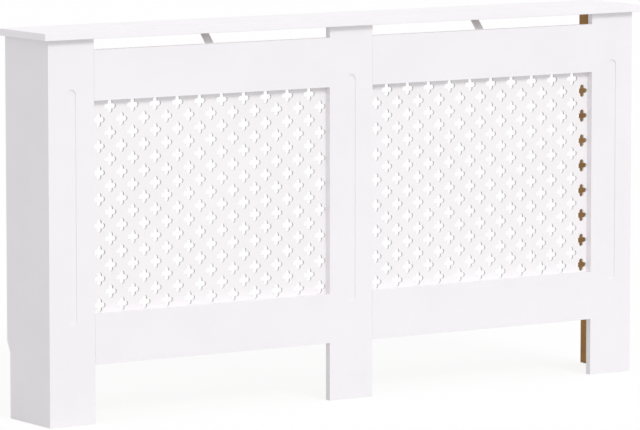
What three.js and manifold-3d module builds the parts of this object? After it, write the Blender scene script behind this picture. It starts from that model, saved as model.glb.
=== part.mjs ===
// Radiator cover cabinet: a shelf on two side panels and three pilasters, with two pierced
// lattice plates behind a frame of rails. Open at the back and the bottom, for a wall radiator.
// Millimetres, +Z up. X runs along the width, the front faces -Y, and the origin is at the
// bottom centre of the whole cabinet, so the shelf's rear edge is the wall side.

import * as THREE from 'three';
import { mergeVertices } from 'three/addons/utils/BufferGeometryUtils.js';
import Module from 'manifold-3d';

const wasm = await Module();
wasm.setup();

// Overall sizes
const shelfLength = 1520;
const shelfDepth = 190;
const totalHeight = 815;
const boardThickness = 15;
const shelfOverhang = 15;          // at the front and at both ends

// Front frame
const pilasterWidth = 109;
const railHeight = 105;
const airSlotHeight = 24;          // between the top rails and the shelf
const footGapHeight = 124;         // below the bottom rails
const buttGap = 0.3;               // dry joint where a rail meets the pilaster on its left
const film = 0.1;                  // glue or paint between faces that touch

// Routed flute in each pilaster: a groove with a flat bottom and round ends
const fluteWidth = 22;
const fluteDepth = 2;
const fluteFoot = 210;             // floor to the flute's lower end
const fluteHead = 104;             // shelf to its upper end
const fluteEndSides = 24;          // straight sides round each end

// Notch in the side panels that clears the skirting board
const notchDepth = 12;
const notchHeight = 140;
const notchSlope = 22;

// Lattice plates
const latticeThickness = 4;
const latticeLap = 12;             // what lies behind the rails and pilasters
const holePitch = 54.6;            // along a row
const rowPitch = 27.5;             // from row to row
const patternRight = 2.5;          // middle of a bay to the middle of its pattern
const patternUp = 0.7;
const lobeRadius = 5.4;            // each hole is four round lobes in a cross
const lobeOffset = 8.5;            // hole centre to lobe centre
const lobeCorners = 2;             // corners that stand for the round end of a lobe
const sideMargin = 3;              // least plate left beside the outermost holes of a centred pattern

// Wood screws with pan heads
const shankRadius = 1.75;
const screwLength = 12;
const headRadius = 3.5;
const headHeight = 2;
const crownRadius = 2.2;           // flat top of the domed head
const screwSides = 8;
const screwClearance = 0.3;        // round the shank and past its tip

// Steel hardware
const steelThickness = 2;
const bracketLeg = 30;
const bracketWidth = 18;
const holeInset = 11;              // leg end to hole centre
const plateLength = 60;            // joining plates across the dry joints
const plateWidth = 16;
const tieWidth = 20;               // cranked straps from the top rails to the shelf
const tieFoot = 30;
const tieCrank = Math.PI / 4;      // angle of its sloping middle
const cornerBracketInset = 100;    // from the floor and from the shelf to the corner brackets
const sideBracketBack = 75;        // rear edge to the shelf brackets on the side panels
const wallBracketDrop = 90;        // shelf to the wall brackets on the side panels

// Finishes
const whitePaint = new THREE.MeshStandardMaterial({ color: '#f3f3f5', roughness: 0.45, metalness: 0 });
const latticePaint = new THREE.MeshStandardMaterial({ color: '#f5f5f6', roughness: 0.5, metalness: 0 });
const zincSteel = new THREE.MeshStandardMaterial({ color: '#b6b9bc', roughness: 0.4, metalness: 0.9 });

// Planes that pieces share
const bodyHalf = shelfLength / 2 - shelfOverhang;
const rearY = shelfDepth / 2;
const frameFrontY = -rearY + shelfOverhang;
const frameRearY = frameFrontY + boardThickness;
const behindFrameY = frameRearY + film;
const shelfBottom = totalHeight - boardThickness;
const uprightTop = shelfBottom - film;
const topRailTop = shelfBottom - airSlotHeight;
const topRailBottom = topRailTop - railHeight;
const bottomRailTop = footGapHeight + railHeight;
const sideInnerX = bodyHalf - boardThickness;
const bayInnerX = pilasterWidth / 2;
const bayOuterX = bodyHalf - pilasterWidth;
const sides = { left: -1, right: 1 };

const weldDistance = 1e-4;         // corners closer than this are one corner
const cabinet = new THREE.Group();
const pilotHoles = {};             // board name -> solids to cut out of that board

// A closed solid from a three.js geometry: shared corners merged, triangles of no area dropped.
function solidOf(geometry) {
  const bare = geometry.clone();
  bare.deleteAttribute('normal');
  bare.deleteAttribute('uv');
  const merged = mergeVertices(bare, weldDistance);
  const corners = Array.from(merged.index.array);
  const triVerts = [];
  for (let i = 0; i < corners.length; i += 3) {
    const [a, b, c] = corners.slice(i, i + 3);
    if (a !== b && b !== c && c !== a) triVerts.push(a, b, c);
  }
  const vertProperties = new Float32Array(merged.attributes.position.array);
  const mesh = new wasm.Mesh({ numProp: 3, vertProperties, triVerts: new Uint32Array(triVerts) });
  return new wasm.Manifold(mesh);
}

function geometryOf(solid) {
  const mesh = solid.getMesh();
  const geometry = new THREE.BufferGeometry();
  geometry.setAttribute('position', new THREE.BufferAttribute(mesh.vertProperties, 3));
  geometry.setIndex(new THREE.BufferAttribute(mesh.triVerts, 1));
  geometry.computeVertexNormals();
  return geometry;
}

function addPart(name, geometry, material) {
  const part = new THREE.Mesh(geometry, material);
  part.name = name;
  cabinet.add(part);
  return part;
}

// A box between two opposite corners, in the cabinet's own coordinates.
function blockBetween(low, high) {
  const size = high.map((value, axis) => value - low[axis]);
  const centre = high.map((value, axis) => (value + low[axis]) / 2);
  return new THREE.BoxGeometry(...size).translate(...centre);
}

// A board is a blank with the pilot holes of its screws and any other cuts taken out.
function addBoard(name, blank, cuts = []) {
  let solid = solidOf(blank);
  for (const cut of [...cuts, ...(pilotHoles[name] ?? [])]) solid = solid.subtract(cut);
  addPart(name, geometryOf(solid), whitePaint);
}

// The turn that takes +Y, the axis of a lathe or cylinder, to a direction.
function turnTo(direction) {
  return new THREE.Quaternion().setFromUnitVectors(new THREE.Vector3(0, 1, 0), direction);
}

// A cylinder along a direction, its middle at a point.
function rodAt(centre, direction, radius, length) {
  const rod = new THREE.CylinderGeometry(radius, radius, length, screwSides);
  return solidOf(rod.applyQuaternion(turnTo(direction)).translate(centre.x, centre.y, centre.z));
}

// A pan-head screw. The seat is the point under the head; the shank runs along the direction,
// through the steel and into the board, whose pilot hole is kept for when the board is made.
function addScrew(name, seat, direction, boardName) {
  const head = film + headHeight;
  const profile = [
    [0, screwLength],
    [shankRadius, screwLength - shankRadius],
    [shankRadius, -film],
    [headRadius, -film],
    [headRadius, -film - headHeight / 2],
    [crownRadius, -head],
    [0, -head],
  ].map(([radius, along]) => new THREE.Vector2(radius, along)).reverse();
  const screw = addPart(name, new THREE.LatheGeometry(profile, screwSides), zincSteel);
  screw.position.copy(seat);
  screw.quaternion.copy(turnTo(direction));

  const depth = screwLength + screwClearance;
  const middle = seat.clone().addScaledVector(direction, depth / 2);
  const hole = rodAt(middle, direction, shankRadius + screwClearance, depth);
  (pilotHoles[boardName] ??= []).push(hole);
}

// Sheet steel: a bent profile extruded to its width, with a round hole at each screw.
// Each fixing gives the seat on the steel's free face, the way in, and the board behind. A hole
// with no board behind it, such as one against the wall, stays empty.
function addSteel(name, blank, fixings) {
  const drillLength = 4 * steelThickness;    // centred on the free face, so it runs well through
  let steel = solidOf(blank);
  let screws = 0;
  for (const { seat, into, board } of fixings) {
    steel = steel.subtract(rodAt(seat, into, shankRadius + screwClearance, drillLength));
    if (board) {
      screws += 1;
      addScrew(`${name}_screw_${screws}`, seat, into, board);
    }
  }
  addPart(name, geometryOf(steel), zincSteel);
}

// An outline in two chosen directions, extruded along the third through the middle of a point.
function extrudeAcross(outline, origin, across, up, width) {
  const shape = new THREE.Shape(outline.map(([u, v]) => new THREE.Vector2(u, v)));
  const along = new THREE.Vector3().crossVectors(across, up);
  const frame = new THREE.Matrix4().makeBasis(across, up, along);
  const start = origin.clone().addScaledVector(along, -width / 2);
  const solid = new THREE.ExtrudeGeometry(shape, { depth: width, bevelEnabled: false });
  return solid.applyMatrix4(frame).translate(start.x, start.y, start.z);
}

// An angle bracket in the corner between two boards. The first leg lies on the face that
// it runs along, the second on the other, and each is one film clear of its board.
function addAngleBracket(name, corner, firstWay, secondWay, firstBoard, secondBoard) {
  const near = film;
  const far = film + steelThickness;
  const tip = film + bracketLeg;
  const outline = [[near, near], [tip, near], [tip, far], [far, far], [far, tip], [near, tip]];
  const blank = extrudeAcross(outline, corner, firstWay, secondWay, bracketWidth);
  const seatOn = (alongWay, offWay) => corner.clone()
    .addScaledVector(alongWay, tip - holeInset)
    .addScaledVector(offWay, far);
  addSteel(name, blank, [
    { seat: seatOn(firstWay, secondWay), into: secondWay.clone().negate(), board: firstBoard },
    { seat: seatOn(secondWay, firstWay), into: firstWay.clone().negate(), board: secondBoard },
  ]);
}

const right = new THREE.Vector3(1, 0, 0);
const rearward = new THREE.Vector3(0, 1, 0);
const upward = new THREE.Vector3(0, 0, 1);
const forward = rearward.clone().negate();
const downward = upward.clone().negate();

// Corner brackets hold each side panel to its outer pilaster, near the floor and the shelf.
const cornerHeights = { lower: cornerBracketInset, upper: uprightTop - cornerBracketInset };
for (const [sideName, side] of Object.entries(sides)) {
  const inward = right.clone().multiplyScalar(-side);
  for (const [levelName, height] of Object.entries(cornerHeights)) {
    const corner = new THREE.Vector3(side * sideInnerX, frameRearY, height);
    addAngleBracket(`corner_bracket_${sideName}_${levelName}`, corner, inward, rearward,
      `pilaster_${sideName}`, `side_panel_${sideName}`);
  }
}

// Shelf brackets stand in the corners under the shelf: two on the side panels, one in the middle.
for (const [sideName, side] of Object.entries(sides)) {
  const corner = new THREE.Vector3(side * sideInnerX, rearY - sideBracketBack, shelfBottom);
  const inward = right.clone().multiplyScalar(-side);
  addAngleBracket(`shelf_bracket_${sideName}`, corner, downward, inward,
    `side_panel_${sideName}`, 'top_shelf');
}
addAngleBracket('shelf_bracket_middle', new THREE.Vector3(0, frameRearY, shelfBottom),
  downward, rearward, 'pilaster_middle', 'top_shelf');

// Wall brackets sit at the rear edge of each side panel, one leg flush with the wall.
for (const [sideName, side] of Object.entries(sides)) {
  const inward = right.clone().multiplyScalar(-side);
  const corner = new THREE.Vector3(side * sideInnerX, rearY, shelfBottom - wallBracketDrop);
  addAngleBracket(`wall_bracket_${sideName}`, corner, inward, forward, null, `side_panel_${sideName}`);
}

// Each bay lies between two pilasters. Its rails and its lattice are glued to the pilaster on
// their right; on the left a dry joint is bridged by two joining plates.
const bays = [
  { name: 'left', low: -bayOuterX, high: -bayInnerX, dryPilaster: 'pilaster_left' },
  { name: 'right', low: bayInnerX, high: bayOuterX, dryPilaster: 'pilaster_middle' },
];
const railLevels = [
  { name: 'top', plate: 'upper', low: topRailBottom, high: topRailTop,
    bareLow: topRailBottom + latticeLap, bareHigh: topRailTop },
  { name: 'bottom', plate: 'lower', low: footGapHeight, high: bottomRailTop,
    bareLow: footGapHeight, bareHigh: bottomRailTop - latticeLap },
];

function addJoiningPlate(bay, level) {
  const jointX = bay.low + buttGap / 2;
  const height = (level.bareLow + level.bareHigh) / 2;
  const rear = behindFrameY + steelThickness;
  const blank = blockBetween(
    [jointX - plateLength / 2, behindFrameY, height - plateWidth / 2],
    [jointX + plateLength / 2, rear, height + plateWidth / 2]);
  const reach = plateLength / 2 - holeInset;
  addSteel(`joining_plate_${bay.name}_${level.plate}`, blank, [
    { seat: new THREE.Vector3(jointX - reach, rear, height), into: forward, board: bay.dryPilaster },
    { seat: new THREE.Vector3(jointX + reach, rear, height), into: forward,
      board: `${level.name}_rail_${bay.name}` },
  ]);
}

// A shelf tie is a strap cranked across the air slot, from the back of the top rail to the
// underside of the shelf, at the middle of its bay.
function addShelfTie(bay) {
  const middleX = (bay.low + bay.high) / 2;
  const rise = uprightTop - topRailTop;
  const lowMitre = steelThickness * Math.tan((Math.PI / 2 - tieCrank) / 2);
  const highMitre = steelThickness * Math.tan(tieCrank / 2);
  const footLow = topRailTop - tieFoot;
  const bendY = behindFrameY + rise / Math.tan(tieCrank);
  const footEnd = bendY + tieFoot;
  const inner = uprightTop - steelThickness;
  const rear = behindFrameY + steelThickness;
  const outline = [
    [behindFrameY, footLow], [behindFrameY, topRailTop], [bendY, uprightTop], [footEnd, uprightTop],
    [footEnd, inner], [bendY + highMitre, inner], [rear, topRailTop - lowMitre], [rear, footLow],
  ];
  const blank = extrudeAcross(outline, new THREE.Vector3(middleX, 0, 0), rearward, upward, tieWidth);
  addSteel(`shelf_tie_${bay.name}`, blank, [
    { seat: new THREE.Vector3(middleX, rear, footLow + holeInset), into: forward,
      board: `top_rail_${bay.name}` },
    { seat: new THREE.Vector3(middleX, footEnd - holeInset, inner), into: upward, board: 'top_shelf' },
  ]);
}

for (const bay of bays) {
  for (const level of railLevels) addJoiningPlate(bay, level);
  addShelfTie(bay);
}

// One lattice hole: two round-ended slots in a cross. The corners that stand for each round
// end lie a little outside it, so that the hole keeps its true area.
const lobeReach = lobeOffset + lobeRadius;
function holeOutline(centreX, centreZ) {
  const step = Math.PI / lobeCorners;
  const cornerRadius = lobeRadius * Math.sqrt(step / Math.sin(step));
  const points = [];
  for (let quarter = 0; quarter < 4; quarter += 1) {
    const turn = quarter * Math.PI / 2;
    const place = (along, across) => points.push(new THREE.Vector2(
      centreX + along * Math.cos(turn) - across * Math.sin(turn),
      centreZ + along * Math.sin(turn) + across * Math.cos(turn)));
    place(lobeRadius, -lobeRadius);
    for (let i = 0; i < lobeCorners; i += 1) {
      const angle = -Math.PI / 2 + (i + 0.5) * step;
      place(lobeOffset + cornerRadius * Math.cos(angle), cornerRadius * Math.sin(angle));
    }
  }
  return new THREE.Path(points);
}

// Holes stand in rows half a pitch apart. Every second row is shifted by half a pitch and has
// one hole more, and the bottom row is one of the long ones.
function addLattice(bay) {
  const lowX = bay.low - latticeLap;
  const highX = bay.high + latticeLap;
  const lowZ = bottomRailTop - latticeLap;
  const highZ = topRailBottom + latticeLap;
  const sheet = new THREE.Shape([[lowX, lowZ], [highX, lowZ], [highX, highZ], [lowX, highZ]]
    .map(([x, z]) => new THREE.Vector2(x, z)));

  const clearWidth = bay.high - bay.low - 2 * (lobeReach + sideMargin);
  const clearHeight = topRailBottom - bottomRailTop - 2 * lobeReach;
  const longRow = Math.floor(clearWidth / holePitch) + 1;
  const rows = Math.floor(clearHeight / rowPitch) + 1;
  const middleX = (bay.low + bay.high) / 2 + patternRight;
  const middleZ = (topRailBottom + bottomRailTop) / 2 + patternUp;
  for (let row = 0; row < rows; row += 1) {
    const holes = longRow - row % 2;
    const z = middleZ + (row - (rows - 1) / 2) * rowPitch;
    for (let i = 0; i < holes; i += 1) {
      sheet.holes.push(holeOutline(middleX + (i - (holes - 1) / 2) * holePitch, z));
    }
  }
  const plate = new THREE.ExtrudeGeometry(sheet, { depth: latticeThickness, bevelEnabled: false });
  plate.rotateX(Math.PI / 2).translate(0, behindFrameY + latticeThickness, 0);
  addPart(`lattice_${bay.name}`, geometryOf(solidOf(plate)), latticePaint);
}

// The cutter of a flute: a half circle at each end of a straight run, seen from the front. It
// stands out of the pilaster as far as it sinks in.
function fluteCutter(centreX) {
  const radius = fluteWidth / 2;
  const outline = new THREE.Shape();
  outline.absarc(centreX, shelfBottom - fluteHead - radius, radius, 0, Math.PI);
  outline.absarc(centreX, fluteFoot + radius, radius, Math.PI, 2 * Math.PI);
  const cutter = new THREE.ExtrudeGeometry(outline,
    { depth: 2 * fluteDepth, bevelEnabled: false, curveSegments: fluteEndSides / 2 });
  cutter.rotateX(Math.PI / 2).translate(0, frameFrontY + fluteDepth, 0);
  return solidOf(cutter);
}

function addPilaster(name, centreX) {
  const half = pilasterWidth / 2;
  const blank = blockBetween([centreX - half, frameFrontY, 0], [centreX + half, frameRearY, uprightTop]);
  addBoard(`pilaster_${name}`, blank, [fluteCutter(centreX)]);
}

function addSidePanel(name, side) {
  const notchY = rearY - notchDepth;
  const outline = [
    [behindFrameY, 0], [notchY, 0], [notchY, notchHeight], [rearY, notchHeight + notchSlope],
    [rearY, uprightTop], [behindFrameY, uprightTop],
  ];
  const middle = new THREE.Vector3(side * (bodyHalf - boardThickness / 2), 0, 0);
  addBoard(`side_panel_${name}`, extrudeAcross(outline, middle, rearward, upward, boardThickness));
}

// The boards come last, when the pilot holes of all the screws are known.
addBoard('top_shelf', blockBetween([-shelfLength / 2, -rearY, shelfBottom],
  [shelfLength / 2, rearY, totalHeight]));
for (const [sideName, side] of Object.entries(sides)) {
  addSidePanel(sideName, side);
  addPilaster(sideName, side * (bodyHalf - pilasterWidth / 2));
}
addPilaster('middle', 0);
for (const bay of bays) {
  for (const level of railLevels) {
    addBoard(`${level.name}_rail_${bay.name}`, blockBetween(
      [bay.low + buttGap, frameFrontY, level.low], [bay.high - film, frameRearY, level.high]));
  }
  addLattice(bay);
}

export default cabinet;
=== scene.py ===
import math

import bmesh
import bpy
import numpy as np
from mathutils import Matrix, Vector


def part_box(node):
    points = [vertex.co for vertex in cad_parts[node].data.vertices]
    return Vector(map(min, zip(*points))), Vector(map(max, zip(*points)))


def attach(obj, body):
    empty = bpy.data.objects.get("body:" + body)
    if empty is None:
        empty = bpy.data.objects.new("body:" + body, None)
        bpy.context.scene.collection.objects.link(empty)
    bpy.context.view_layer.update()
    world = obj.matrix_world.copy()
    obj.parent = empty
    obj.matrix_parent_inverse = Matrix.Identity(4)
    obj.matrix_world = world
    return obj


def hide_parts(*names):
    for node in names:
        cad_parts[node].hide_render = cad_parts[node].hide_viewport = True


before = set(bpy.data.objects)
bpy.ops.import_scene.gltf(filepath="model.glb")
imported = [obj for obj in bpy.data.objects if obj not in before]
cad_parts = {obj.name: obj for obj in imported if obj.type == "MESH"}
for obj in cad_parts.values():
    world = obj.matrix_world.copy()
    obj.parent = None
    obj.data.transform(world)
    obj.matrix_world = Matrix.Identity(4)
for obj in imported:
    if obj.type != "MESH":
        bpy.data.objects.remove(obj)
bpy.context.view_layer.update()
scene = bpy.context.scene
scene.view_settings.view_transform = "Standard"
mm = 0.001
xAxis, yAxis, zAxis = range(3)
white, black = (1, 1, 1, 1), (0, 0, 0, 1)
print("frame loaded,", len(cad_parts), "packed pieces")


# The curve of screen colours: a straight toe below the knee, and a power above it.
screenCurve = {"knee": 0.04045, "toeSlope": 12.92, "offset": 0.055, "power": 2.4}


# A screen colour as light values, channel by channel: below the knee, the value over the toe's
# slope; above it, value plus offset, over one plus offset, to the power.
def fromScreen(*colour):
    value = np.array(colour) / 255
    curved = ((value + screenCurve["offset"]) / (1 + screenCurve["offset"])) ** screenCurve["power"]
    light = np.where(value <= screenCurve["knee"], value / screenCurve["toeSlope"], curved)
    return (*light.tolist(), 1.0)


# Adds a node, sets its settings, and feeds its inputs with values or with other nodes' sockets.
def addNode(tree, kind, inputs, **settings):
    node = tree.nodes.new(kind)
    for key, value in settings.items():
        setattr(node, key, value)
    for key, value in inputs.items():
        if isinstance(value, bpy.types.NodeSocket):
            tree.links.new(value, node.inputs[key])
        else:
            node.inputs[key].default_value = value
    return node


# One step of arithmetic on numbers, or on vectors with the other kind of node.
def arithmetic(tree, operation, *values, kind="ShaderNodeMath", **settings):
    node = addNode(tree, kind, dict(enumerate(values)), operation=operation, **settings)
    return node.outputs[0]


# A share of the second shader over the first.
def mixShaders(tree, share, first, second):
    inputs = {0: share, 1: first.outputs[0], 2: second.outputs[0]}
    return addNode(tree, "ShaderNodeMixShader", inputs)


# The photograph's viewpoint, found from the cabinet's own edges: a long lens, a little above it.
viewpoint = {
    "azimuth": -33.487,             # degrees round the cabinet, 0 is straight in front
    "elevation": 6.515,
    "distance": 10.5614,
    "target": (-0.0267, 0.0, 0.3893),
    "lens": 277.45,                 # mm, on a sensor 36 mm wide
    "sensorWidth": 36,
    "farthest": 120,
}


# Stands the camera off from its target and turns it to look back at it. The way there is the
# sine and cosine of the azimuth on the floor, times the elevation's cosine, and its sine upward.
def addCamera():
    azimuth = math.radians(viewpoint["azimuth"])
    elevation = math.radians(viewpoint["elevation"])
    back = Vector((math.sin(azimuth) * math.cos(elevation),
                   -math.cos(azimuth) * math.cos(elevation), math.sin(elevation)))
    data = bpy.data.cameras.new("camera")
    data.lens = viewpoint["lens"]
    data.sensor_width = viewpoint["sensorWidth"]
    data.clip_end = viewpoint["farthest"]
    camera = bpy.data.objects.new("camera", data)
    camera.location = Vector(viewpoint["target"]) + back * viewpoint["distance"]
    camera.rotation_euler = (-back).to_track_quat("-Z", "Y").to_euler()
    scene.collection.objects.link(camera)
    scene.camera = camera


studio = {
    "domeLight": 0.753,             # even light from all round
    "keyLight": 1.144,              # soft lamp, high in front
    "keySpread": 20,                # degrees across, which softens the shadows
    "keyFrom": (0.0, -0.801, 0.599),
    "floorSize": 60,
    "floorDrop": 0.2 * mm,
    "floorBounce": 0.68,            # grey that the floor sends back to the cabinet
    "floorShade": 0.13,             # share of the floor's picture that shows light and shadow
}


# 1 where the camera, a reflection or glass looks, and 0 where light is gathered for a surface.
def seenDirectly(tree):
    path = addNode(tree, "ShaderNodeLightPath", {}).outputs
    either = arithmetic(tree, "MAXIMUM", path["Is Camera Ray"], path["Is Glossy Ray"])
    return arithmetic(tree, "MAXIMUM", either, path["Is Transmission Ray"])


# The dome lights everything evenly, and is plain white where it is seen.
def addDome():
    scene.world = bpy.data.worlds.new("studio")
    scene.world.use_nodes = True
    tree = scene.world.node_tree
    tree.nodes.clear()
    lit = addNode(tree, "ShaderNodeBackground", {"Color": white, "Strength": studio["domeLight"]})
    seen = addNode(tree, "ShaderNodeBackground", {"Color": white, "Strength": 1.0})
    both = mixShaders(tree, seenDirectly(tree), lit, seen)
    addNode(tree, "ShaderNodeOutputWorld", {"Surface": both.outputs[0]})


# The key lamp is a sun, so only the way that it shines from matters.
def addKeyLamp():
    lamp = bpy.data.lights.new("keyLamp", "SUN")
    lamp.energy = studio["keyLight"]
    lamp.angle = math.radians(studio["keySpread"])
    key = bpy.data.objects.new("keyLamp", lamp)
    key.rotation_euler = Vector(studio["keyFrom"]).to_track_quat("Z", "Y").to_euler()
    scene.collection.objects.link(key)


# The floor is grey for the light that it sends back. Where it is seen it glows plain white, with
# a share of a white surface that takes the cabinet's shadow.
def makeFloorMaterial():
    material = bpy.data.materials.new("paleFloor")
    material.use_nodes = True
    tree = material.node_tree
    tree.nodes.clear()
    bounce = (*[studio["floorBounce"]] * 3, 1)
    grey = addNode(tree, "ShaderNodeBsdfDiffuse", {"Color": bounce})
    shaded = addNode(tree, "ShaderNodeBsdfDiffuse", {"Color": white})
    glow = addNode(tree, "ShaderNodeEmission", {"Color": white, "Strength": 1.0})
    picture = mixShaders(tree, studio["floorShade"], glow, shaded)
    both = mixShaders(tree, seenDirectly(tree), grey, picture)
    addNode(tree, "ShaderNodeOutputMaterial", {"Surface": both.outputs[0]})
    return material


# A flat square with its middle under the cabinet, a hair below the feet.
def addFloor():
    half = studio["floorSize"] / 2
    corners = [(-half, -half), (half, -half), (half, half), (-half, half)]
    mesh = bpy.data.meshes.new("floor")
    mesh.from_pydata([(x, y, -studio["floorDrop"]) for x, y in corners], [], [(0, 1, 2, 3)])
    mesh.materials.append(makeFloorMaterial())
    floor = bpy.data.objects.new("floor", mesh)
    scene.collection.objects.link(floor)


addCamera()
addDome()
addKeyLamp()
addFloor()
print("camera, lamp and floor")


# Levels that a noise mostly keeps between, wide or narrow, and the whole range of a share.
noise = {"wide": (0.3, 0.7), "narrow": (0.35, 0.65), "whole": (0.0, 1.0)}


# Starts a shader group. An input has a kind and a value, an output only a kind.
def newGroup(name, inputs, outputs):
    group = bpy.data.node_groups.new(name, "ShaderNodeTree")
    for label, (kind, value) in inputs.items():
        socket = group.interface.new_socket(
            name=label, in_out="INPUT", socket_type="NodeSocket" + kind)
        socket.default_value = value
    for label, kind in outputs.items():
        group.interface.new_socket(name=label, in_out="OUTPUT", socket_type="NodeSocket" + kind)
    given = group.nodes.new("NodeGroupInput").outputs
    return group, given, group.nodes.new("NodeGroupOutput").inputs


# Noise on the piece's own coordinates, as a value round 0.5. Size is the width of its grains, so
# the noise's scale is one over it.
def grain(tree, size, detail=2.0):
    place = addNode(tree, "ShaderNodeTexCoord", {}).outputs["Object"]
    scale = 1 / size if isinstance(size, float) else arithmetic(tree, "DIVIDE", 1.0, size)
    return addNode(tree, "ShaderNodeTexNoise",
                   {"Vector": place, "Scale": scale, "Detail": detail}).outputs["Fac"]


# A value stretched in proportion, so that the two levels become the two ends, and no further.
def spread(tree, value, levels, ends, **settings):
    return addNode(tree, "ShaderNodeMapRange",
                   {"Value": value, "From Min": levels[0], "From Max": levels[1],
                    "To Min": ends[0], "To Max": ends[1]}, **settings).outputs["Result"]


# A share of the second colour over the first. The colours are the node's sockets 6 and 7, behind
# those for numbers and vectors.
def mixColours(tree, share, first, second):
    inputs = {0: share, 6: first, 7: second}
    return addNode(tree, "ShaderNodeMix", inputs, data_type="RGBA").outputs[2]


sprayTexture = {"cloud": 120 * mm, "cloudDetail": 3.0, "patch": 30 * mm,
                "patchGloss": (-0.04, 0.04), "dimpleDetail": 1.5}


# Sprayed paint: a faint cloudiness in its colour, patches of more and less gloss, and the fine
# dimples of orange peel as height.
def makePaintGroup():
    group, given, out = newGroup("sprayedPaint", {
        "Colour": ("Color", white), "Clouded": ("Color", white),
        "Roughness": ("Float", 0.4), "Dimple": ("Float", 2 * mm)},
        {"Colour": "Color", "Roughness": "Float", "Height": "Float"})
    cloudy = grain(group, sprayTexture["cloud"], sprayTexture["cloudDetail"])
    clouds = spread(group, cloudy, noise["narrow"], noise["whole"])
    group.links.new(mixColours(group, clouds, given["Colour"], given["Clouded"]), out["Colour"])
    patchy = grain(group, sprayTexture["patch"])
    patches = spread(group, patchy, noise["wide"], sprayTexture["patchGloss"])
    group.links.new(arithmetic(group, "ADD", given["Roughness"], patches), out["Roughness"])
    group.links.new(grain(group, given["Dimple"], sprayTexture["dimpleDetail"]), out["Height"])
    return group


feltTexture = {"fibreDetail": 5.0, "cloud": 50 * mm, "cloudDetail": 3.0, "cloudTone": (-0.25, 0.25),
               "speck": 4 * mm, "speckDetail": 1.0, "speckLevels": (0.68, 0.74),
               "speckTone": (0.0, 0.6), "roughness": (0.74, 0.9)}


# Bare fibreboard: felted fibres as fine light and dark threads, larger clouds, dark specks.
def makeFibreGroup():
    group, given, out = newGroup("bareFibreboard", {
        "Light": ("Color", white), "Dark": ("Color", black), "Fibre": ("Float", 0.8 * mm)},
        {"Colour": "Color", "Roughness": "Float", "Height": "Float"})
    fibres = grain(group, given["Fibre"], feltTexture["fibreDetail"])
    threads = spread(group, fibres, noise["narrow"], noise["whole"])
    cloudy = grain(group, feltTexture["cloud"], feltTexture["cloudDetail"])
    clouds = spread(group, cloudy, noise["narrow"], feltTexture["cloudTone"])
    tone = arithmetic(group, "ADD", threads, clouds, use_clamp=True)
    felt = mixColours(group, tone, given["Dark"], given["Light"])
    speckled = grain(group, feltTexture["speck"], feltTexture["speckDetail"])
    specks = spread(group, speckled, feltTexture["speckLevels"], feltTexture["speckTone"])
    group.links.new(mixColours(group, specks, felt, given["Dark"]), out["Colour"])
    rough = spread(group, fibres, noise["wide"], feltTexture["roughness"])
    group.links.new(rough, out["Roughness"])
    group.links.new(fibres, out["Height"])
    return group


driftTexture = {"wander": 12 * mm, "detail": 4.0, "share": (-0.5, 0.5), "farOff": 10.0}


# Spray that drifts round the rim of a bare face: 1 within Solid of the rim, fading to 0 over
# Fade. The distance to the rim is the least of half the size less the distance from the centre,
# and noise moves it in and out by a share of Fade.
def makeDriftGroup():
    group, given, out = newGroup("sprayDrift", {
        "Centre": ("Vector", (0, 0, 0)), "Half": ("Vector", (1, 1, 1)),
        "Solid": ("Float", 0.0), "Fade": ("Float", 10 * mm)}, {"Mask": "Float"})
    place = addNode(group, "ShaderNodeTexCoord", {}).outputs["Object"]
    vectors = {"kind": "ShaderNodeVectorMath"}
    away = arithmetic(group, "SUBTRACT", place, given["Centre"], **vectors)
    size = arithmetic(group, "ABSOLUTE", away, **vectors)
    left = arithmetic(group, "SUBTRACT", given["Half"], size, **vectors)
    along = addNode(group, "ShaderNodeSeparateXYZ", {0: left}).outputs
    least = arithmetic(group, "MINIMUM", along[0], along[1])
    rim = arithmetic(group, "MINIMUM", least, along[2])
    wandering = grain(group, driftTexture["wander"], driftTexture["detail"])
    wander = spread(group, wandering, noise["wide"], driftTexture["share"])
    edge = arithmetic(group, "ADD", rim, arithmetic(group, "MULTIPLY", wander, given["Fade"]))
    past = arithmetic(group, "SUBTRACT", edge, given["Solid"])
    share = arithmetic(group, "DIVIDE", past, given["Fade"])
    mask = spread(group, share, noise["whole"], (1.0, 0.0), interpolation_type="SMOOTHSTEP")
    group.links.new(mask, out["Mask"])
    return group


zincTexture = {"rolled": 0.5 * mm, "rolledDetail": 3.0, "rolledGloss": (-0.08, 0.1)}


# Zinc plate: crystals as cells of slightly different grey, with a fine rolled grain over them.
def makeZincGroup():
    group, given, out = newGroup("zincPlate", {
        "Light": ("Color", white), "Dark": ("Color", black),
        "Crystal": ("Float", 2 * mm), "Roughness": ("Float", 0.35)},
        {"Colour": "Color", "Roughness": "Float", "Height": "Float"})
    place = addNode(group, "ShaderNodeTexCoord", {}).outputs["Object"]
    scale = arithmetic(group, "DIVIDE", 1.0, given["Crystal"])
    cells = addNode(group, "ShaderNodeTexVoronoi", {"Vector": place, "Scale": scale})
    tone = addNode(group, "ShaderNodeSeparateColor", {0: cells.outputs["Color"]}).outputs[0]
    group.links.new(mixColours(group, tone, given["Dark"], given["Light"]), out["Colour"])
    rolled = grain(group, zincTexture["rolled"], zincTexture["rolledDetail"])
    change = spread(group, rolled, noise["wide"], zincTexture["rolledGloss"])
    group.links.new(arithmetic(group, "ADD", given["Roughness"], change), out["Roughness"])
    group.links.new(rolled, out["Height"])
    return group


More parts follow.
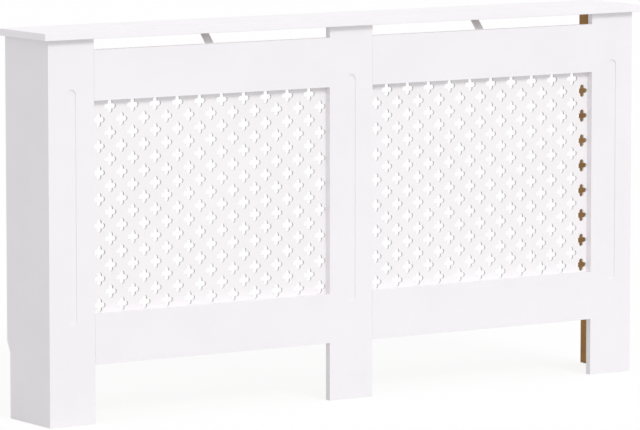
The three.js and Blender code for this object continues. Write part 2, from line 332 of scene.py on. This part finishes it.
# A finish is one Principled shader fed by a group, whose height goes through a Bump node.
# Relief is how deep that height is, in metres.
def makeFinish(name, group, values, relief, metallic=0.0):
    material = bpy.data.materials.new(name)
    material.use_nodes = True
    tree = material.node_tree
    shader = tree.nodes["Principled BSDF"]
    shader.inputs["Metallic"].default_value = metallic
    look = addNode(tree, "ShaderNodeGroup", values, node_tree=group)
    bump = addNode(tree, "ShaderNodeBump", {"Height": look.outputs["Height"], "Distance": relief})
    tree.links.new(look.outputs["Colour"], shader.inputs["Base Color"])
    tree.links.new(look.outputs["Roughness"], shader.inputs["Roughness"])
    tree.links.new(bump.outputs["Normal"], shader.inputs["Normal"])
    return material


boardPaint = {"Colour": fromScreen(246, 243, 246), "Clouded": fromScreen(244, 241, 244),
              "Roughness": 0.4, "Dimple": 2.2 * mm}
# The shelf's paint is the boards' paint made lighter, as painted light: the extra lightness stands
# in for light that the shelf's faces catch, not for a different paint.
litShelfPaint = {"Colour": fromScreen(249, 246, 249), "Clouded": fromScreen(247, 244, 247),
              "Roughness": 0.38, "Dimple": 2.2 * mm}
latticePaint = {"Colour": fromScreen(247, 244, 246), "Clouded": fromScreen(245, 242, 244),
                "Roughness": 0.5, "Dimple": 1.6 * mm}
# The hole walls' paint is greyer than the plate's: thinner paint on the cut edges, and painted
# shade that darkens the walls inside the holes.
cutPaintAndShade = {"Colour": fromScreen(224, 222, 222), "Clouded": fromScreen(217, 215, 214),
            "Roughness": 0.6, "Dimple": 0.8 * mm}
bareBoard = {"Light": fromScreen(188, 145, 86), "Dark": fromScreen(155, 113, 63),
             "Fibre": 0.8 * mm}
plateZinc = {"Light": fromScreen(245, 244, 244), "Dark": fromScreen(233, 232, 232),
             "Crystal": 1.8 * mm, "Roughness": 0.55}
screwZinc = {"Light": fromScreen(214, 212, 204), "Dark": fromScreen(196, 194, 188),
             "Crystal": 0.6 * mm, "Roughness": 0.3}
relief = {"paint": 0.012 * mm, "fibre": 0.06 * mm, "zinc": 0.01 * mm}

paintGroup, fibreGroup = makePaintGroup(), makeFibreGroup()
driftGroup, zincGroup = makeDriftGroup(), makeZincGroup()
whitePaint = makeFinish("whitePaint", paintGroup, boardPaint, relief["paint"])
litWhiteShelf = makeFinish("litWhiteShelf", paintGroup, litShelfPaint, relief["paint"])
whiteLattice = makeFinish("whiteLattice", paintGroup, latticePaint, relief["paint"])
latticeCutAndShade = makeFinish("latticeCutAndShade", paintGroup, cutPaintAndShade, relief["paint"])
zincPlate = makeFinish("zincPlate", zincGroup, plateZinc, relief["zinc"], metallic=1.0)
zincScrew = makeFinish("zincScrew", zincGroup, screwZinc, relief["zinc"], metallic=1.0)


# The bare side of one board: fibreboard, with white spray drifted over its rim. The distance
# through the board doesn't count, so half its size that way is far off.
def bareFace(node, through, solid, fade):
    material = makeFinish("bare_" + node, fibreGroup, bareBoard, relief["fibre"])
    tree = material.node_tree
    colour = tree.nodes["Principled BSDF"].inputs["Base Color"]
    fibre = colour.links[0].from_socket
    low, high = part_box(node)
    half = (high - low) / 2
    half[through] = driftTexture["farOff"]
    values = {"Centre": (low + high) / 2, "Half": half, "Solid": solid, "Fade": fade}
    drift = addNode(tree, "ShaderNodeGroup", values, node_tree=driftGroup)
    painted = mixColours(tree, drift.outputs["Mask"], fibre, boardPaint["Colour"])
    tree.links.new(painted, colour)
    return material


print("finishes")


softening = {
    "board": 0.3 * mm,              # radius left on the edges by sanding and paint
    "shelf": 0.8 * mm,
    "steel": 0.25 * mm,
    "segments": 2,
    "squarest": 60,                 # only edges sharper than this are rounded
}

meshing = {
    "seam": 0.001 * mm,             # points closer than this become one
    "facing": 0.9,                  # least cosine between a face's normal and the way it looks
    "sharpest": 20,                 # degrees, faces that meet at less than this shade as one
}


# Makes a piece from points and faces, with its seams closed and the second finish on the faces
# that look one of its ways, and puts it on the cabinet in its node's place.
def addPiece(name, points, faces, node, finishes, secondWays=(),
             sharpest=meshing["sharpest"]):
    mesh = bpy.data.meshes.new(name)
    mesh.from_pydata(np.asarray(points, float).tolist(), [], faces)
    work = bmesh.new()
    work.from_mesh(mesh)
    bmesh.ops.remove_doubles(work, verts=work.verts, dist=meshing["seam"])
    work.to_mesh(mesh)
    work.free()
    for material in finishes:
        mesh.materials.append(material)
    mesh.shade_smooth()
    mesh.set_sharp_from_angle(angle=math.radians(sharpest))
    if len(finishes) > 1:
        normals = np.empty(3 * len(mesh.polygons), np.float32)
        mesh.polygons.foreach_get("normal", normals)
        cosines = normals.reshape(-1, 3) @ np.array(secondWays, np.float32).T
        second = cosines.max(axis=1) > meshing["facing"]
        mesh.polygons.foreach_set("material_index", second.astype(np.int32))
    piece = bpy.data.objects.new(name, mesh)
    scene.collection.objects.link(piece)
    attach(piece, "root")
    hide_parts(node)
    return piece


# Rounds the square edges of a piece, as they are after its other modifiers.
def roundEdges(piece, radius):
    bevel = piece.modifiers.new("roundedEdges", "BEVEL")
    bevel.width = radius
    bevel.segments = softening["segments"]
    bevel.limit_method = "ANGLE"
    bevel.angle_limit = math.radians(softening["squarest"])
    bevel.harden_normals = True


# Joins rows of points into faces: each point with its neighbour in the row and the two above,
# round and round, and the first and last rows closed by one face each.
def tubeFaces(rows, columns):
    index = np.arange(rows * columns).reshape(rows, columns)
    after = np.roll(index, -1, axis=1)
    walls = np.stack([index[:-1], after[:-1], after[1:], index[1:]], -1).reshape(-1, 4)
    return [*walls.tolist(), index[0, ::-1].tolist(), index[-1].tolist()]


# The two axes that follow the given one, in turn.
def nextAxes(axis):
    return (axis + 1) % 3, (axis + 2) % 3


# An outline carried straight along an axis: one row of points at each end. The outline lies in
# the next two axes, in that order, and runs anticlockwise seen from the far end.
def carried(outline, axis, start, end):
    points = np.empty((2, len(outline), 3))
    points[:, :, axis] = np.array([start, end])[:, None]
    points[:, :, nextAxes(axis)] = outline
    return points.reshape(-1, 3), tubeFaces(2, len(outline))


# A plain board: the box's section across the upright axis, carried from its foot to its head.
def plainBoard(low, high):
    outline = np.array([(low.x, low.y), (high.x, low.y), (high.x, high.y), (low.x, high.y)])
    return carried(outline, zAxis, low.z, high.z)


# Top shelf: one board, painted all over in the lighter shelf paint, whose extra lightness is
# painted light.
def addShelf():
    points, faces = plainBoard(*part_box("top_shelf"))
    piece = addPiece("top_shelf_board", points, faces, "top_shelf", [litWhiteShelf])
    roundEdges(piece, softening["shelf"])


# Side panels: glued a little way into the outer pilasters, a hair behind their edges, bare
# inside, with the rear foot cut back for the skirting board.
panel = {"lap": 1.0 * mm, "notchHeight": 140 * mm, "notchDepth": 12 * mm, "notchSlope": 22 * mm,
         "behind": 0.02 * mm, "bareRim": 0.3 * mm, "drift": 1.5 * mm}


# The panel's side view, carried through its thickness.
def addSidePanel(name, inward):
    node = "side_panel_" + name
    low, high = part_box(node)
    low.x, high.x = low.x + panel["behind"], high.x - panel["behind"]
    front, notch = low.y - panel["lap"], high.y - panel["notchDepth"]
    outline = np.array([(front, low.z), (notch, low.z), (notch, panel["notchHeight"]),
                        (high.y, panel["notchHeight"] + panel["notchSlope"]),
                        (high.y, high.z), (front, high.z)])
    points, faces = carried(outline, xAxis, low.x, high.x)
    bare = bareFace(node, xAxis, panel["bareRim"], panel["drift"])
    piece = addPiece(node + "_board", points, faces, node,
                     [whitePaint, bare], [(inward, 0, 0)])
    roundEdges(piece, softening["board"])


# Pilasters: upright boards, each with a flat-bottomed flute down its front.
flute = {"width": 22 * mm, "depth": 2 * mm, "foot": 210 * mm, "head": 104 * mm,
         "endSteps": 14, "bareRim": 0.5 * mm, "drift": 2 * mm}


# Rows of eight points round the board, from its foot up. Half the flute's width is the tool's
# radius, times the sine of the angle gone round in its two ends, and its walls go straight in.
def addPilaster(name):
    node = "pilaster_" + name
    low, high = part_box(node)
    half, foot = flute["width"] / 2, flute["foot"]
    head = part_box("top_shelf")[0].z - flute["head"]
    bend = np.linspace(0, math.pi / 2, flute["endSteps"] + 1)
    rise = half * (1 - np.cos(bend))
    z = np.concatenate([[low.z, foot], foot + rise, head - rise[::-1], [head, high.z]])
    width = half * np.concatenate([[0, 0], np.sin(bend), np.sin(bend[::-1]), [0, 0]])
    rows, middle = len(z), (low.x + high.x) / 2
    left, right = np.full(rows, low.x), np.full(rows, high.x)
    points = np.empty((rows, 8, 3))
    points[:, :, 0] = np.stack([left, left, middle - width, middle - width,
                                middle + width, middle + width, right, right], -1)
    points[:, :, 1] = low.y
    points[:, [0, 7], 1] = high.y
    points[2:-2, [3, 4], 1] += flute["depth"]
    points[:, :, 2] = z[:, None]
    bare = bareFace(node, yAxis, flute["bareRim"], flute["drift"])
    piece = addPiece(node + "_board", points.reshape(-1, 3), tubeFaces(rows, 8), node,
                     [whitePaint, bare], [(0, 1, 0)])
    roundEdges(piece, softening["board"])


# Rails: dry against the pilaster on their left. On their right they are glued and painted over,
# so there they run a little way into the pilaster, a hair within its two faces.
rail = {"lap": 1.0 * mm, "behind": 0.02 * mm, "bareRim": 0.5 * mm, "drift": 2 * mm}


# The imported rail's box, longer by the lap and thinner by the hair on each face.
def addRail(level, bay):
    node = f"{level}_rail_{bay}"
    low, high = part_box(node)
    high.x += rail["lap"]
    low.y, high.y = low.y + rail["behind"], high.y - rail["behind"]
    points, faces = plainBoard(low, high)
    bare = bareFace(node, yAxis, rail["bareRim"], rail["drift"])
    piece = addPiece(node + "_board", points, faces, node,
                     [whitePaint, bare], [(0, 1, 0)])
    roundEdges(piece, softening["board"])


# Lattice: every hole is a cross of two round-ended slots in the middle of a diamond tile. The
# tiles meet corner to corner in staggered rows, and a border fills the plate out to its edges.
lattice = {
    "pitch": 54.6 * mm,             # hole to hole along a row
    "rowPitch": 27.5 * mm,
    "right": 2.5 * mm,              # middle of the bay to the middle of the pattern
    "up": 0.7 * mm,
    "lobeRadius": 5.4 * mm,
    "lobeOffset": 8.5 * mm,         # hole centre to lobe centre
    "lobeSteps": 8,                 # an even number, so that a point lies at each lobe's tip
    "sideMargin": 3 * mm,           # least plate left beside the outermost holes
    "leastRim": 0.5 * mm,           # least border round the tiles
    "sharpest": 40,
}


# The cross, a quarter at a time: an inner corner, then the half circle round one lobe's centre.
def holeOutline():
    radius, offset = lattice["lobeRadius"], lattice["lobeOffset"]
    angle = np.linspace(-math.pi / 2, math.pi / 2, lattice["lobeSteps"] + 1)
    lobe = np.stack([offset + radius * np.cos(angle), radius * np.sin(angle)], -1)
    quarter = np.concatenate([[(radius, -radius)], lobe])
    turns = np.arange(4) * math.pi / 2
    turned = np.stack([np.stack([np.cos(turns), -np.sin(turns)], -1),
                       np.stack([np.sin(turns), np.cos(turns)], -1)], 1)
    return np.einsum("tij,pj->tpi", turned, quarter).reshape(-1, 2)


# The pattern of one bay: holes in a long row, rows, and its middle. Each count is the whole
# pitches in the room that one hole leaves, plus one.
def holePattern(bay, leftBoard, rightBoard):
    left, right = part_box(leftBoard)[1].x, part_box(rightBoard)[0].x
    bottom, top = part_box("bottom_rail_" + bay)[1].z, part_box("top_rail_" + bay)[0].z
    reach = lattice["lobeOffset"] + lattice["lobeRadius"]
    wide = right - left - 2 * (reach + lattice["sideMargin"])
    tall = top - bottom - 2 * reach
    middle = (left + right) / 2 + lattice["right"], (bottom + top) / 2 + lattice["up"]
    return int(wide / lattice["pitch"]) + 1, int(tall / lattice["rowPitch"]) + 1, np.array(middle)


# Hole centres from the bottom row up, in steps from the middle. Every second row is half a pitch
# to the side and has one hole less.
def holeSteps(longRow, rows):
    places = [np.stack([2 * np.arange(longRow - row % 2) - (longRow - row % 2 - 1),
                        np.full(longRow - row % 2, row - (rows - 1) / 2)], -1)
              for row in range(rows)]
    return np.concatenate(places)


# The zigzags along the outermost tiles, from corner to corner, in steps from the middle: below,
# to the right, above and to the left.
def zigzags(longRow, rows):
    side, foot, top = longRow - 1, -(rows + 1) / 2, (rows - 1) / 2
    alongX, alongZ = np.arange(2 * longRow - 1), np.arange(rows + 1)
    return [np.stack([side - alongX, foot + alongX % 2], -1),
            np.stack([side + alongZ % 2, top - alongZ], -1),
            np.stack([-side + alongX, top + alongX % 2], -1),
            np.stack([-side - alongZ % 2, foot + alongZ], -1)]


# Faces of the tiles, one in each quarter: two of the diamond's corners, and the hole's outline
# back from the tip of one lobe, round the inner corner, to the tip of the lobe before it.
def quarterFaces(holes, count):
    ring = np.arange(holes * count).reshape(holes, count)
    tip = np.arange(4) * (count // 4) + 1 + lattice["lobeSteps"] // 2
    arc = (tip[:, None] + np.arange(count // 4 + 1)) % count
    corner = holes * count + np.arange(holes * 4).reshape(holes, 4, 1)
    faces = np.concatenate([corner, np.roll(corner, -1, axis=1), ring[:, arc[:, ::-1]]], -1)
    return faces.reshape(holes * 4, -1).tolist()


# The front of the plate is laid out flat as holes, tiles and borders, and the back is the same
# the other way round. Walls join the two along each hole and along the plate's four edges.
def addLattice(bay, leftBoard, rightBoard):
    node = "lattice_" + bay
    low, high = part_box(node)
    longRow, rows, middle = holePattern(bay, leftBoard, rightBoard)
    step = np.array([lattice["pitch"] / 2, lattice["rowPitch"]])
    centres = middle + step * holeSteps(longRow, rows)
    hole = holeOutline()
    holes, count = len(centres), len(hole)

    rim = np.array([lattice["leastRim"]] * 2)
    inside = np.array([low.x, low.z]) + rim, np.array([high.x, high.z]) - rim
    diamond = step * np.array([(1, 0), (0, 1), (-1, 0), (0, -1)])
    corners = np.array([(low.x, low.z), (high.x, low.z), (high.x, high.z), (low.x, high.z)])
    borders = [np.concatenate([corners[[i, (i + 1) % 4]], np.clip(middle + step * line, *inside)])
               for i, line in enumerate(zigzags(longRow, rows))]
    flat = np.concatenate([(centres[:, None] + hole).reshape(-1, 2),
                           np.clip((centres[:, None] + diamond).reshape(-1, 2), *inside),
                           *borders])
    starts = holes * (count + 4) + np.cumsum([0] + [len(border) for border in borders[:-1]])
    fronts = quarterFaces(holes, count)
    fronts += [list(range(start, start + len(border))) for start, border in zip(starts, borders)]

    total = len(flat)
    backs = [[total + i for i in reversed(face)] for face in fronts]
    ring = np.arange(holes * count).reshape(holes, count)
    after = np.roll(ring, -1, axis=1)
    walls = np.stack([ring, after, after + total, ring + total], -1).reshape(-1, 4).tolist()
    rims = [[start + 1, start, start + total, start + 1 + total] for start in starts]
    points = np.empty((2, total, 3))
    points[:, :, [0, 2]] = flat
    points[:, :, 1] = np.array([low.y, high.y])[:, None]
    # The walls take the greyer cut paint with its painted shade, and the front and back take the
    # lattice paint.
    addPiece(node + "_plate", points.reshape(-1, 3), fronts + backs + walls + rims, node,
             [latticeCutAndShade, whiteLattice], [(0, -1, 0), (0, 1, 0)],
             sharpest=lattice["sharpest"])


addShelf()
for name, inward in (("left", 1), ("right", -1)):
    addSidePanel(name, inward)
for name in ("left", "middle", "right"):
    addPilaster(name)
for bay in ("left", "right"):
    for level in ("top", "bottom"):
        addRail(level, bay)
addLattice("left", "pilaster_left", "pilaster_middle")
addLattice("right", "pilaster_middle", "pilaster_right")
print("boards and lattices")


# Steel: a strap of sheet, laid out flat with its screw holes, then bent along its path.
strap = {"thickness": 2 * mm, "holeRadius": 2.05 * mm, "holeInset": 11 * mm,
         "bendRadius": 2.2 * mm, "bendSteps": 6, "endRadius": 4 * mm, "endSteps": 4,
         "sideSteps": 6}


# A path with its corners rounded: each corner becomes an arc that starts and ends where the
# straight runs touch it, at the radius times the tangent of half the turn.
def roundedPath(corners):
    radius, path = strap["bendRadius"], [corners[0]]
    for before, corner, later in zip(corners, corners[1:], corners[2:]):
        inward = (corner - before) / np.linalg.norm(corner - before)
        outward = (later - corner) / np.linalg.norm(later - corner)
        turn = math.acos(float(inward @ outward))
        cut = radius * math.tan(turn / 2)
        swept = np.linspace(0, turn, strap["bendSteps"] + 1)[:, None]
        sideways = outward - inward * math.cos(turn)
        sideways = sideways / np.linalg.norm(sideways)
        start = corner - inward * cut
        path.extend(start + radius * (np.sin(swept) * inward + (1 - np.cos(swept)) * sideways))
    return np.array([*path, corners[-1]])


# A square cell of the strap with a round hole: the points of the circle are those of the square,
# brought to the hole's radius, and each side of the square has the same steps.
def holeCell(centre, half, sweep):
    edge, ones = sweep[:-1], np.ones(len(sweep) - 1)
    sides = (ones, edge), (-edge, ones), (-ones, -edge), (edge, -ones)
    square = np.concatenate([np.stack(side, -1) for side in sides])
    circle = square / np.linalg.norm(square, axis=1)[:, None] * strap["holeRadius"]
    inner = np.arange(len(square))
    after, outer = np.roll(inner, -1), len(square)
    faces = np.stack([inner, inner + outer, after + outer, after], -1)
    return np.concatenate([circle, half * square]) + (centre, 0), faces


# A plain run of the strap: rows of points straight across it, at each mark between its ends.
def plainRun(start, end, half, sweep, marks):
    rows = np.unique([start, end, *[mark for mark in marks if start < mark < end]])
    across, along = np.meshgrid(half * sweep, rows)
    index = np.arange(across.size).reshape(across.shape)
    quads = np.stack([index[:-1, :-1], index[1:, :-1], index[1:, 1:], index[:-1, 1:]], -1)
    return np.stack([along.ravel(), across.ravel()], -1), quads.reshape(-1, 4)


# The flat strap: cells with holes, and plain runs between them with a row at every bend and at
# the rounding of the ends, which narrow by a quarter circle at each corner.
def flatStrap(length, width, holes, bends):
    half, corner = width / 2, strap["endRadius"]
    sweep = np.linspace(-1, 1, strap["sideSteps"] + 1)
    rounding = corner * (1 - np.cos(np.linspace(0, math.pi / 2, strap["endSteps"] + 1)))
    marks = [*bends, *rounding, *(length - rounding)]
    stops = [0.0, *[edge for centre in holes for edge in (centre - half, centre + half)], length]
    parts = [holeCell(centre, half, sweep) for centre in holes]
    parts += [plainRun(start, end, half, sweep, marks)
              for start, end in zip(stops[::2], stops[1::2])]
    firsts = np.cumsum([0] + [len(points) for points, _ in parts[:-1]])
    faces = [face for first, (_, part) in zip(firsts, parts) for face in (part + first).tolist()]
    flat = np.concatenate([points for points, _ in parts])
    left = np.clip(corner - np.minimum(flat[:, 0], length - flat[:, 0]), 0, corner)
    flat[:, 1] *= 1 - (corner - np.sqrt(corner ** 2 - left ** 2)) / half
    return flat, faces


# Bends a flat strap: the distance along it is looked up on the path, and the distance across
# goes straight along the width. A screw hole lies at the same distance from each end. Solidify
# gives the strap the sheet's thickness.
def addStrap(node, corners, axis):
    low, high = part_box(node)
    path = roundedPath(np.array(corners, float))
    runs = np.linalg.norm(np.diff(path, axis=0), axis=1)
    walked = np.concatenate([[0], np.cumsum(runs)])
    length, inset = walked[-1], strap["holeInset"]
    flat, faces = flatStrap(length, high[axis] - low[axis], [inset, length - inset], walked[1:-1])
    points = np.stack([np.interp(flat[:, 0], walked, path[:, k]) for k in range(3)], -1)
    points[:, axis] += flat[:, 1]
    piece = addPiece(node + "_strap", points, faces, node, [zincPlate])
    sheet = piece.modifiers.new("sheetThickness", "SOLIDIFY")
    sheet.thickness = strap["thickness"]
    sheet.offset = 0
    sheet.use_even_offset = True
    roundEdges(piece, softening["steel"])


# An angle bracket's path: in from one leg's tip to the corner, and out along the other. The
# corner is the box's corner nearest both boards, half a thickness in.
def addAngle(node, axis, cornerEnds):
    low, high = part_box(node)
    half = strap["thickness"] / 2
    middle = (low + high) / 2
    ways = [k for k in range(3) if k != axis]
    corner, first, second = np.array(middle), np.array(middle), np.array(middle)
    for way, end in zip(ways, cornerEnds):
        near, far = (low[way] + half, high[way]) if end < 0 else (high[way] - half, low[way])
        corner[way] = near
        first[way] = far if way == ways[0] else near
        second[way] = far if way == ways[1] else near
    addStrap(node, [first, corner, second], axis)


tie = {"crank": 45}                 # degrees that a tie leans back above the rail


# A tie's path: up the rail's back, back towards the wall at the crank, and flat under the shelf.
# The middle of the steel bends lower than the rail's top, by half a thickness times the tangent
# of half the crank, which brings the bend of its front face level with that top.
def addTie(bay):
    node = "shelf_tie_" + bay
    low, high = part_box(node)
    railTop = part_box("top_rail_" + bay)[1].z
    half, middle = strap["thickness"] / 2, (low.x + high.x) / 2
    crank = math.radians(tie["crank"])
    mitre = half * math.tan(crank / 2)
    rise = (high.z - half) - (railTop - mitre)
    foot = (middle, low.y + half, low.z)
    lower = (middle, low.y + half, railTop - mitre)
    upper = (middle, low.y + half + rise / math.tan(crank), high.z - half)
    end = (middle, high.y, high.z - half)
    addStrap(node, [foot, lower, upper, end], xAxis)


# A joining plate's path is straight, along the middle of its box.
def addJoiningPlate(node):
    low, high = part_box(node)
    middle = (low + high) / 2
    ends = [(low.x, middle.y, middle.z), (high.x, middle.y, middle.z)]
    addStrap(node, ends, zAxis)


for side, end in (("left", -1), ("right", 1)):
    for level in ("lower", "upper"):
        addAngle(f"corner_bracket_{side}_{level}", zAxis, (end, -1))
        addJoiningPlate(f"joining_plate_{side}_{level}")
    addAngle(f"shelf_bracket_{side}", yAxis, (end, 1))
    addAngle(f"wall_bracket_{side}", zAxis, (end, 1))
    addTie(side)
addAngle("shelf_bracket_middle", xAxis, (-1, 1))
print("brackets, plates and ties")


# Screws: a pan head with a cross recess on a plain shank. Rows of points go round the axis, and
# the head's rows are pushed down inside the cross.
screw = {
    "headRadius": 3.5 * mm,
    "headHeight": 2.1 * mm,
    "rimHeight": 1.0 * mm,          # straight edge of the head, under its dome
    "domeSteps": 12,
    "domePower": 3,                 # higher is flatter on top
    "shankRadius": 1.75 * mm,
    "tip": 1.8 * mm,
    "round": 32,                    # points round the axis
    "slotHalf": 0.45 * mm,          # half the width of each slot of the cross
    "slotReach": 1.9 * mm,
    "slotDepth": 1.1 * mm,
    "slotWall": 0.15 * mm,
    "slotRise": 0.5,                # share of the depth that is lost by a slot's end
}


# Depth of the recess: full inside either slot, falling to nothing over the slot's wall, and
# shallower towards the slots' ends.
def recess(x, y):
    x, y = np.abs(x), np.abs(y)
    narrow, far = np.minimum(x, y), np.maximum(x, y)
    inSlot = np.clip((screw["slotHalf"] + screw["slotWall"] - narrow) / screw["slotWall"], 0, 1)
    inReach = np.clip((screw["slotReach"] - far) / screw["slotWall"], 0, 1)
    rise = 1 - screw["slotRise"] * far / screw["slotReach"]
    return screw["slotDepth"] * inSlot * inReach * rise


# The profile from the tip to the middle of the head: radius, and height over the tip. The dome
# falls by a power of the distance from the axis.
def screwProfile(length):
    radius, shank = screw["headRadius"], screw["shankRadius"]
    seat, dome = length - screw["headHeight"], screw["headHeight"] - screw["rimHeight"]
    domeRadii = radius * np.sin(np.linspace(math.pi / 2, 0, screw["domeSteps"] + 1))
    domeHeights = dome * (1 - (domeRadii / radius) ** screw["domePower"])
    radii = np.concatenate([[0, shank, shank, radius], domeRadii])
    heights = np.concatenate([[0, screw["tip"], seat, seat],
                              seat + screw["rimHeight"] + domeHeights])
    return radii, heights


# Whether the head is at the axis's upper end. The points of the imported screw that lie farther
# out than midway between shank and head are the head's.
def headIsUp(node, axis, centre):
    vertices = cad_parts[node].data.vertices
    points = np.empty(3 * len(vertices), np.float32)
    vertices.foreach_get("co", points)
    points = points.reshape(-1, 3) - np.array(centre)
    u, v = nextAxes(axis)
    onHead = np.hypot(points[:, u], points[:, v]) > (screw["headRadius"] + screw["shankRadius"]) / 2
    return points[onHead, axis].mean() > 0


# The profile turned round the screw's axis, which is its box's longest, and built from the tip.
def addScrew(node):
    low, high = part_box(node)
    size, centre = high - low, (low + high) / 2
    axis = max(range(3), key=lambda k: size[k])
    u, v = nextAxes(axis)
    tip, way = (low[axis], 1) if headIsUp(node, axis, centre) else (high[axis], -1)
    radii, heights = screwProfile(size[axis])
    turn = np.arange(screw["round"]) * 2 * math.pi / screw["round"]
    x, y = radii[:, None] * np.cos(turn), radii[:, None] * np.sin(turn)
    z = heights[:, None]
    onHead = z > size[axis] - screw["headHeight"]
    points = np.empty((*x.shape, 3))
    points[..., axis] = tip + way * (z - np.where(onHead, recess(x, y), 0))
    points[..., u] = centre[u] + x
    points[..., v] = centre[v] + way * y
    addPiece(node + "_pan", points.reshape(-1, 3), tubeFaces(*x.shape), node,
             [zincScrew])


screws = sorted(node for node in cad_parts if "_screw_" in node)
for node in screws:
    addScrew(node)
print(len(screws), "screws")
